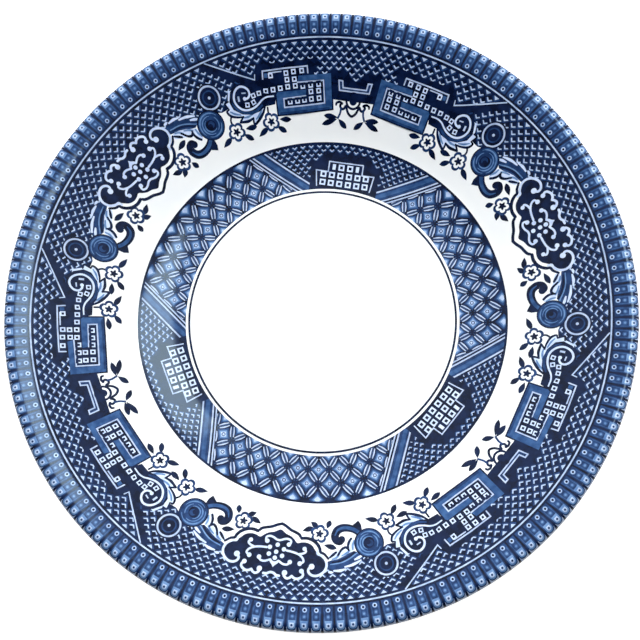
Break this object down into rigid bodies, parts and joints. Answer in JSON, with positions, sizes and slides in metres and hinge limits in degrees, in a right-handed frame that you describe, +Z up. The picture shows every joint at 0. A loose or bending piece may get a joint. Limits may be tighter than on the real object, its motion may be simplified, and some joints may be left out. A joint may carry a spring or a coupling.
{
  "type": "china saucer",
  "caption": "Round blue and white china saucer on a turned foot ring, with a plain well for a cup and a traditional printed border.",
  "frame": {"origin": "centre of the foot ring's bearing face, on the surface the saucer stands on", "axes": "+Z up along the axis of turning; a cartouche of the border lies at -Y, the front"},
  "size_m": [0.141, 0.141, 0.0214],
  "materials": {
    "biscuit_china": "unglazed, matt",
    "white_glaze": "gloss",
    "dark_ink": "gloss",
    "blue_ink": "gloss"
  },
  "bodies": {
    "root": {"china_body": "biscuit_china", "face_glaze": "white_glaze", "foot_well_glaze": "white_glaze", "border_ground_print": "dark_ink", "cartouche_prints": "dark_ink", "ring_medallion_prints": "dark_ink", "dark_panel_prints": "dark_ink", "panel_link_prints": "dark_ink", "panel_bar_prints": "dark_ink", "band_trellis_prints": "dark_ink", "band_fret_prints": "dark_ink", "rim_edge_print": "blue_ink", "fruit_prints": "blue_ink", "blossom_prints": "blue_ink", "blue_panel_prints": "blue_ink", "scroll_prints": "blue_ink", "band_lattice_prints": "blue_ink", "band_stripe_prints": "blue_ink", "well_line_print": "blue_ink"}
  },
  "joints": []
}
